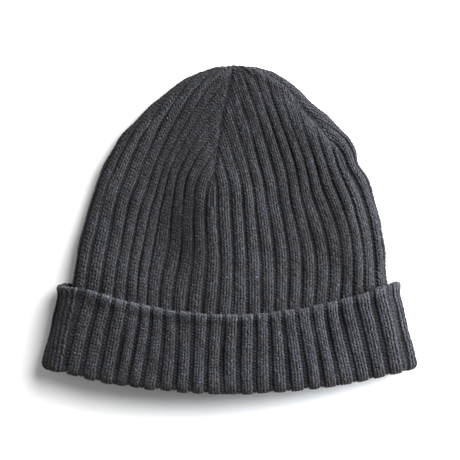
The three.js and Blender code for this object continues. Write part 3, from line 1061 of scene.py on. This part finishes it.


# %% [markdown]
# ## Heather wool
#
# The yarn is spun from fibres dyed in several colours: charcoal, with lighter grey, bluish and
# brownish flecks. From a distance they melt into a dark grey that is never quite even. Noise at
# the size of a fleck mixes the colours, and each stitch has a shade of its own: random tone, which
# on the cuff also carries painted light, painted highlight and painted shade. The stitches with the
# lowest shade are a little browner, random tone on most and painted brown shadow round the fold.
# Wool is rough, with a faint glow where light grazes its fuzz. A photograph of wool would repeat
# and hold its own shadows, so the colours here are made from noise and each stitch's shade.

# %% The wool material
CHARCOAL = (0.0135, 0.0138, 0.0160, 1)
LIGHT_GREY = (0.0440, 0.0445, 0.0510, 1)
BLUE_GREY = (0.0240, 0.0285, 0.0450, 1)
BROWN_GREY = (0.0255, 0.0220, 0.0195, 1)
DEEP_GREY = (0.010, 0.010, 0.011, 1)
PATCH_SCALE = 45.0
PATCHINESS = 0.5
STITCH_CONTRAST = 0.5
DARKEST = 0.75
FIBRE_SCALE = 3200.0
BROWN_TONE_AND_SHADOW = (1.15, 1.0, 0.85, 1)
UNCHANGED = (1, 1, 1, 1)
FLECKS = (
    # colour, share, scale of the noise, start and end of its ramp, and how far the noise is moved
    (LIGHT_GREY, 0.75, 900.0, 0.48, 0.62, (0, 0, 0)),
    (BLUE_GREY, 0.55, 650.0, 0.52, 0.66, (3, 1, 2)),
    (BROWN_GREY, 0.5, 700.0, 0.53, 0.67, (1, 5, 4)),
    (DEEP_GREY, 0.7, 1000.0, 0.50, 0.66, (7, 2, 6)),
)


def wool(name, brightness, uses_shade):
    """The heather wool. uses_shade tells whether the piece has a shade for each stitch."""
    shader = Shader(name)
    place = shader.node("ShaderNodeTexCoord", {}, {}, "Object")
    colour = CHARCOAL
    for tone, share, scale, low, high, move in FLECKS:
        moved = shader.node("ShaderNodeVectorMath", {"operation": "ADD"}, {0: place, 1: move})
        flecks = shader.ramp(shader.noise(moved, scale), [(low, 0.0), (high, 1.0)])
        colour = shader.mix(flecks * share, colour, tone)
    level = shader.noise(place, PATCH_SCALE) * PATCHINESS + (DARKEST * brightness)
    if uses_shade:
        # each stitch's shade: random tone, and on the cuff also painted light, highlight and shade
        own = shader.node("ShaderNodeAttribute", {"attribute_name": "shade"}, {}, "Fac")
        level = level * (own * STITCH_CONTRAST + DARKEST)
        # the lowest shades turn browner: random tone on most stitches, painted brown shadow round the
        # fold
        brown_tone_and_shadow_mask = shader.ramp(own, [(0.0, 0.0), (0.3, 1.0)])
        tint = shader.mix(brown_tone_and_shadow_mask, BROWN_TONE_AND_SHADOW, UNCHANGED)
        colour = shader.mix(1.0, colour, tint, "MULTIPLY")
    grey = shader.node("ShaderNodeCombineColor", {}, {0: level, 1: level, 2: level})
    colour = shader.mix(1.0, colour, grey, "MULTIPLY")
    fibres = shader.noise(place, FIBRE_SCALE, 3.0, 0.6)
    bump = shader.node("ShaderNodeBump", {}, {"Strength": 0.7, "Distance": 0.25 * MM, "Height": fibres})
    surface = shader.node("ShaderNodeBsdfPrincipled", {}, {
        "Base Color": colour,
        "Roughness": 0.95,
        "Specular IOR Level": 0.15,
        "Sheen Weight": 0.08,
        "Sheen Roughness": 0.45,
        "Normal": bump,
    })
    shader.node("ShaderNodeOutputMaterial", {}, {"Surface": surface})
    print("material", name, "has", len(shader.tree.nodes), "nodes")
    return shader.material


stitch_wool = wool("stitch_wool", 1.0, True)
# the fabric under the stitches, seen in the gaps and grooves, is a darker copy of the wool: painted
# shade between the stitches
ground_wool_painted_shade = wool("ground_wool_painted_shade", 0.6, False)
fabric_mesh.materials.append(ground_wool_painted_shade)
for piece in stitches:
    piece.data.materials.clear()
    piece.data.materials.append(stitch_wool)

# %% [markdown]
# ## One body, one solid
#
# The cap has no joints, so every piece rides on the root, and all of them stand for the one solid.

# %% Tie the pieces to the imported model
for piece in [fabric, *stitches]:
    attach(piece, "root")
    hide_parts("knit_cap")

# %% [markdown]
# ## Floor, light and camera
#
# The photograph is a product shot from straight above on white. One large soft light stands to
# the upper right, so the right edge is bright and the shadow falls to the left. A cooler light
# stands low at the right and grazes the ribs, a weak one at the left opens the darkest side, and a
# bright sky fills the rest. One strong lamp alone would leave the hollows black. A long lens from
# two metres away keeps the outline free of perspective.

# %% The floor
floor_mesh = bpy.data.meshes.new("floor")
bm = bmesh.new()
bmesh.ops.create_grid(bm, x_segments=1, y_segments=1, size=3)
bm.to_mesh(floor_mesh)
bm.free()
floor = new_object("floor", floor_mesh)
paper = Shader("white_paper")
paper_surface = paper.node("ShaderNodeBsdfPrincipled", {}, {
    "Base Color": (0.80, 0.80, 0.80, 1),
    "Roughness": 0.9,
    "Specular IOR Level": 0.1,
})
paper.node("ShaderNodeOutputMaterial", {}, {"Surface": paper_surface})
floor_mesh.materials.append(paper.material)


# %% The lights
def soft_light(name, place, size, power):
    """A round area light that looks at the origin."""
    light = bpy.data.lights.new(name, "AREA")
    light.shape = "DISK"
    light.size = size
    light.energy = power
    lamp = new_object(name, light)
    lamp.location = place
    lamp.rotation_euler = (-Vector(place)).to_track_quat("-Z", "Y").to_euler()
    return lamp


soft_light("key", (0.86, 0.70, 1.12), 1.40, 68)
side = soft_light("side", (1.50, 0.25, 0.28), 0.60, 95)
side.data.color = (0.86, 0.93, 1.0)
soft_light("fill", (-1.30, 0.10, 1.00), 1.20, 4)
sky = bpy.data.worlds.new("sky")
sky.use_nodes = True
sky.node_tree.nodes["Background"].inputs["Color"].default_value = (1, 1, 1, 1)
sky.node_tree.nodes["Background"].inputs["Strength"].default_value = 0.29
bpy.context.scene.world = sky
bpy.context.scene.view_settings.view_transform = "Standard"

# %% The camera
PHOTO_PIXELS = 460
PIXEL = 0.613 * MM
PHOTO_WIDTH = PHOTO_PIXELS * PIXEL
PHOTO_MIDDLE = -0.6 * MM
CAMERA_HEIGHT = 2.0
FOCUS_HEIGHT = 10 * MM

camera_data = bpy.data.cameras.new("camera")
camera_data.lens = camera_data.sensor_width * (CAMERA_HEIGHT - FOCUS_HEIGHT) / PHOTO_WIDTH
camera = new_object("camera", camera_data)
camera.location = (0, PHOTO_MIDDLE, CAMERA_HEIGHT)
bpy.context.scene.camera = camera
print("lens in mm:", round(camera_data.lens, 1))
